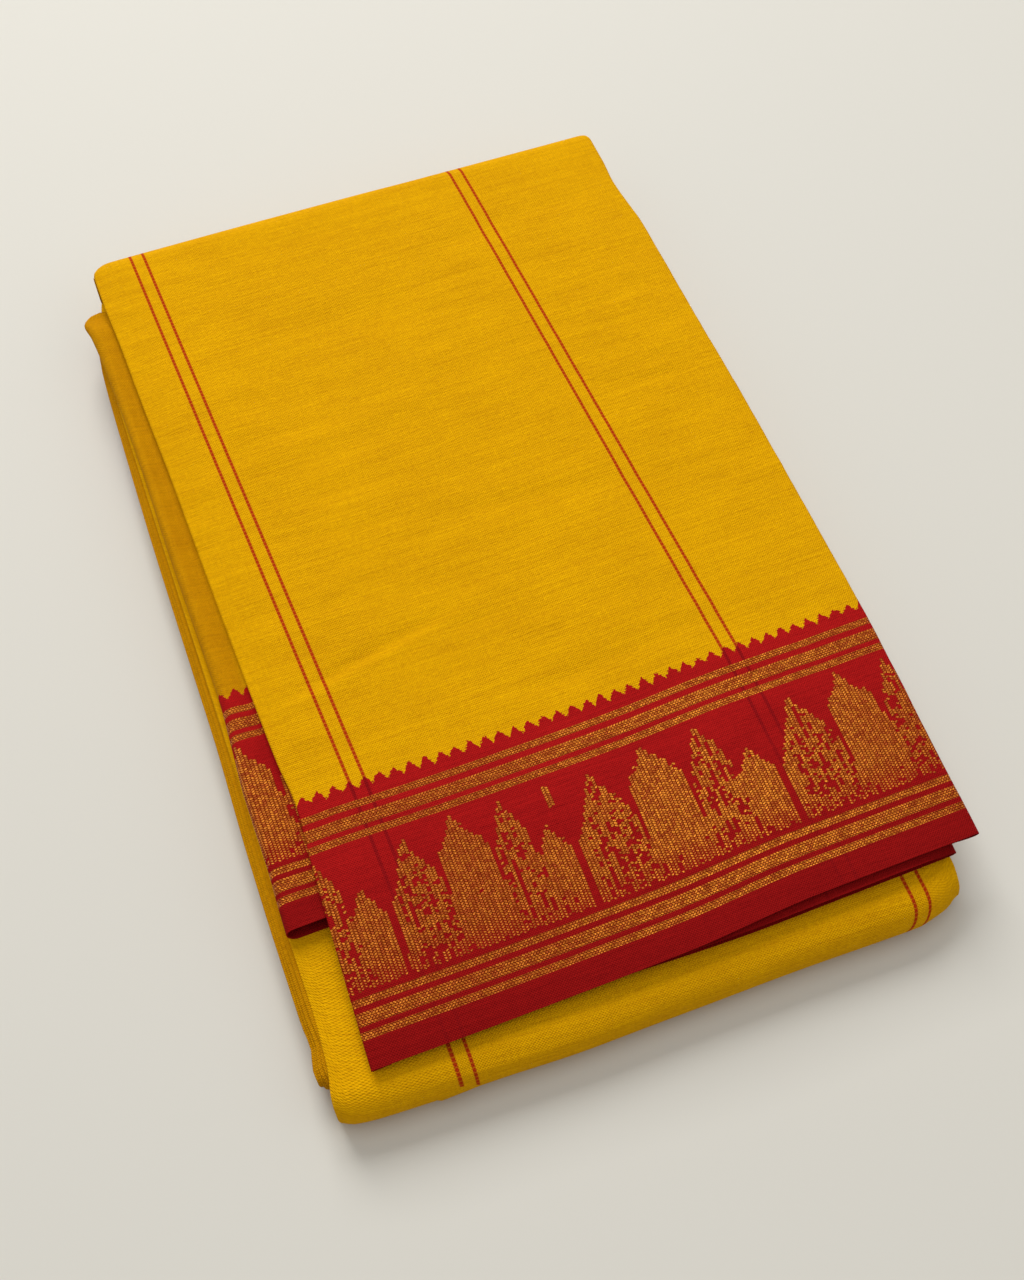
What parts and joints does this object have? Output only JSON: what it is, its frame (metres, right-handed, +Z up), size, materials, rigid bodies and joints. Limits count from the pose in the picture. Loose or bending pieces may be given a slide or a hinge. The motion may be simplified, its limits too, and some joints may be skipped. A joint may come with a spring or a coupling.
{
  "type": "folded saree",
  "caption": "Cotton saree folded into a flat stack, mustard yellow with a red woven border that shows on the front of the top panel and on a soft roll at the left.",
  "frame": {"origin": "middle of the base of the box that holds the folded saree, on the surface it lies on", "axes": "+X across the folded panels to the right, +Y from the front selvedge to the back fold, +Z up"},
  "size_m": [0.2748, 0.423, 0.035],
  "materials": {
    "mustard_cotton": "plain woven handloom cotton, mustard yellow with fine dashed red lines",
    "red_border": "red cotton border with gold thread bands and a row of spires woven in"
  },
  "bodies": {
    "root": {"top_field": "mustard_cotton", "top_border": "red_border", "roll_field": "mustard_cotton", "roll_border": "red_border", "loop_field": "mustard_cotton", "loop_border": "red_border", "lower_wrap": "mustard_cotton", "bottom_border": "red_border", "hidden_layers": "mustard_cotton"}
  },
  "joints": []
}
